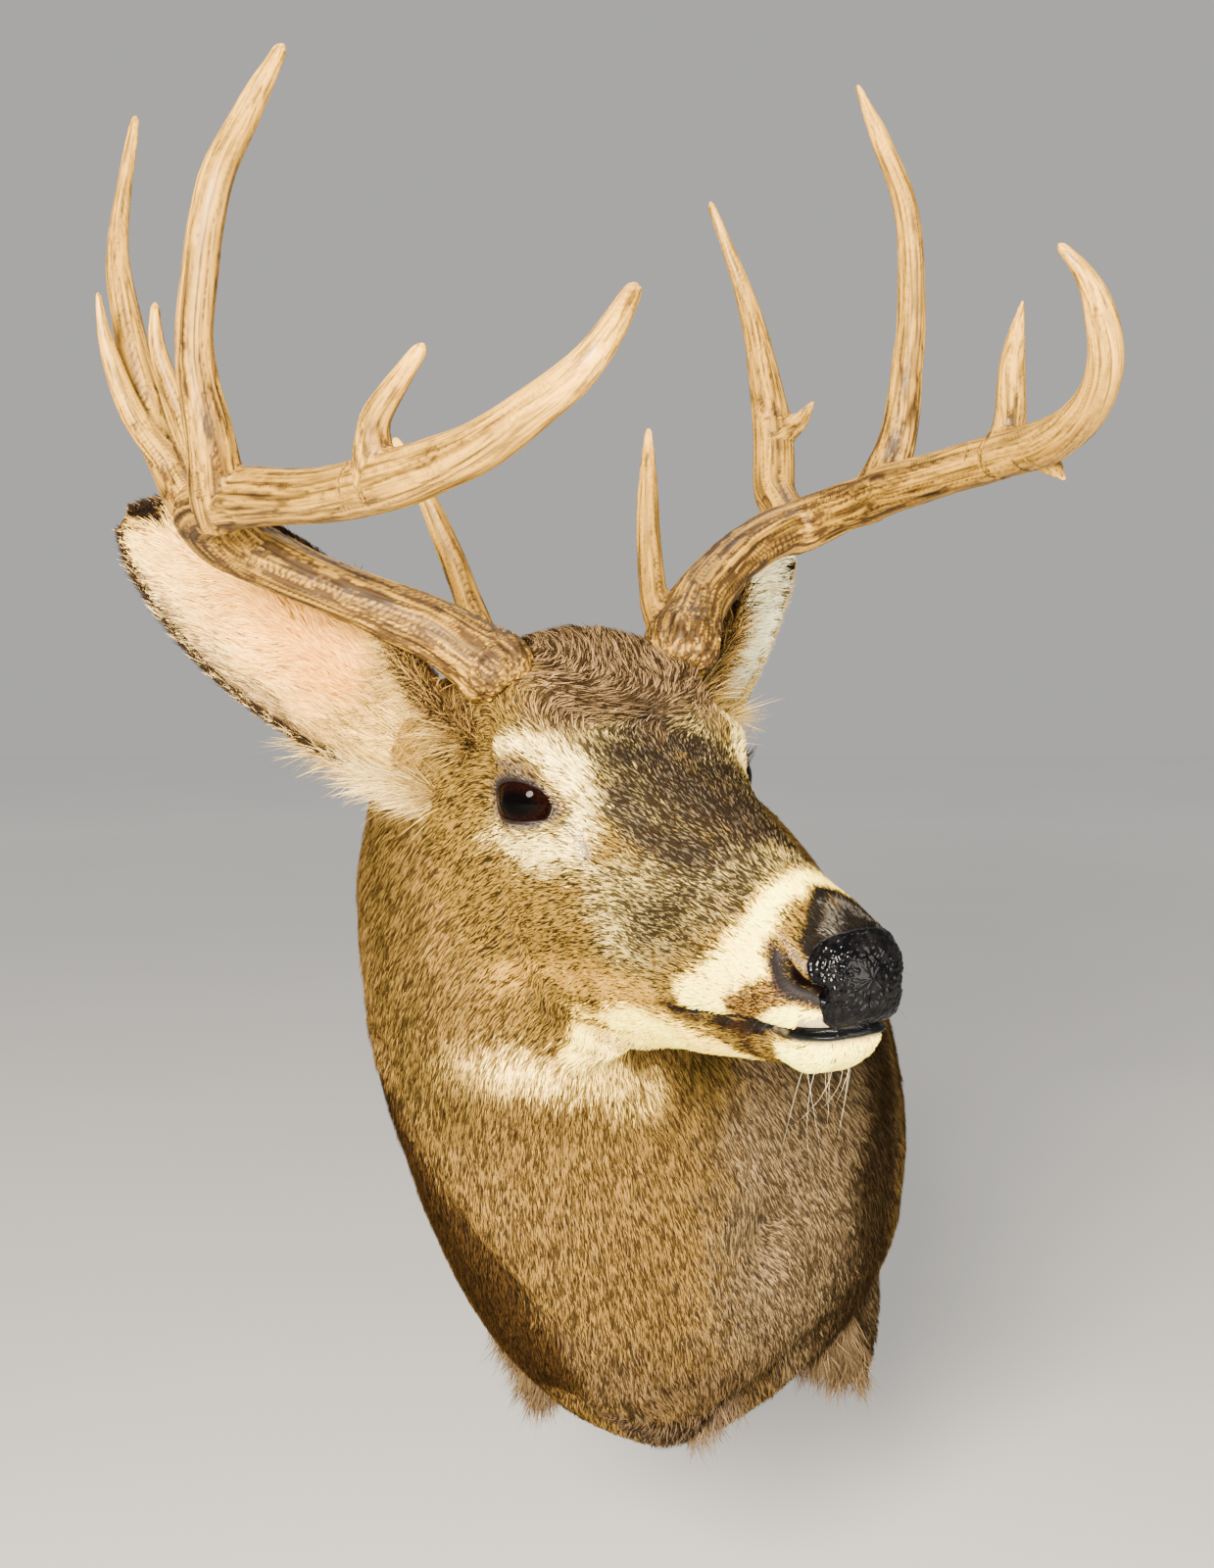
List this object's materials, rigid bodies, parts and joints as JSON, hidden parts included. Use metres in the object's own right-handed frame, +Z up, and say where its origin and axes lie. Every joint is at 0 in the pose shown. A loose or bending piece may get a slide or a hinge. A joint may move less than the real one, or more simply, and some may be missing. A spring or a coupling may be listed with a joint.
{
  "type": "deer shoulder mount",
  "caption": "Whitetail buck shoulder mount: head turned to its left, tall branched antlers, neck and brisket on a flat back board that hangs on a wall.",
  "frame": {"origin": "middle of the flat back face of the backing board, which lies on the wall", "axes": "+Y into the wall along the back face's outward normal, -Y out into the room, +Z up, +X to the viewer's right, which is the buck's left"},
  "size_m": [0.4903, 0.6252, 0.8263],
  "materials": {
    "face_fur": "short grey-brown hair",
    "neck_fur": "dense tan-brown hair",
    "body_fur": "dense grey-brown hair",
    "jaw_fur": "short cream hair",
    "ear_skin": "thin hair over pale pink skin, dark rim",
    "nose_pad": "black, pebbled, glossy as if wet",
    "glass_eye": "dark brown glass eye, very glossy",
    "antler": "hard antler, cream with brown grain, satin",
    "plywood": "bare plywood"
  },
  "bodies": {
    "root": {"head": "face_fur", "nose": "nose_pad", "lower_jaw": "jaw_fur", "neck": "neck_fur", "shoulders": "body_fur", "ear_right": "ear_skin", "ear_left": "ear_skin", "eye_right": "glass_eye", "eye_left": "glass_eye", "antler_right_beam_lower": "antler", "antler_right_beam_upper": "antler", "antler_right_brow_tine": "antler", "antler_right_second_tine": "antler", "antler_right_third_tine": "antler", "antler_right_fourth_tine": "antler", "antler_left_beam_lower": "antler", "antler_left_beam_upper": "antler", "antler_left_brow_tine": "antler", "antler_left_second_tine": "antler", "antler_left_third_tine": "antler", "antler_left_fourth_tine": "antler", "back_board": "plywood"}
  },
  "joints": []
}
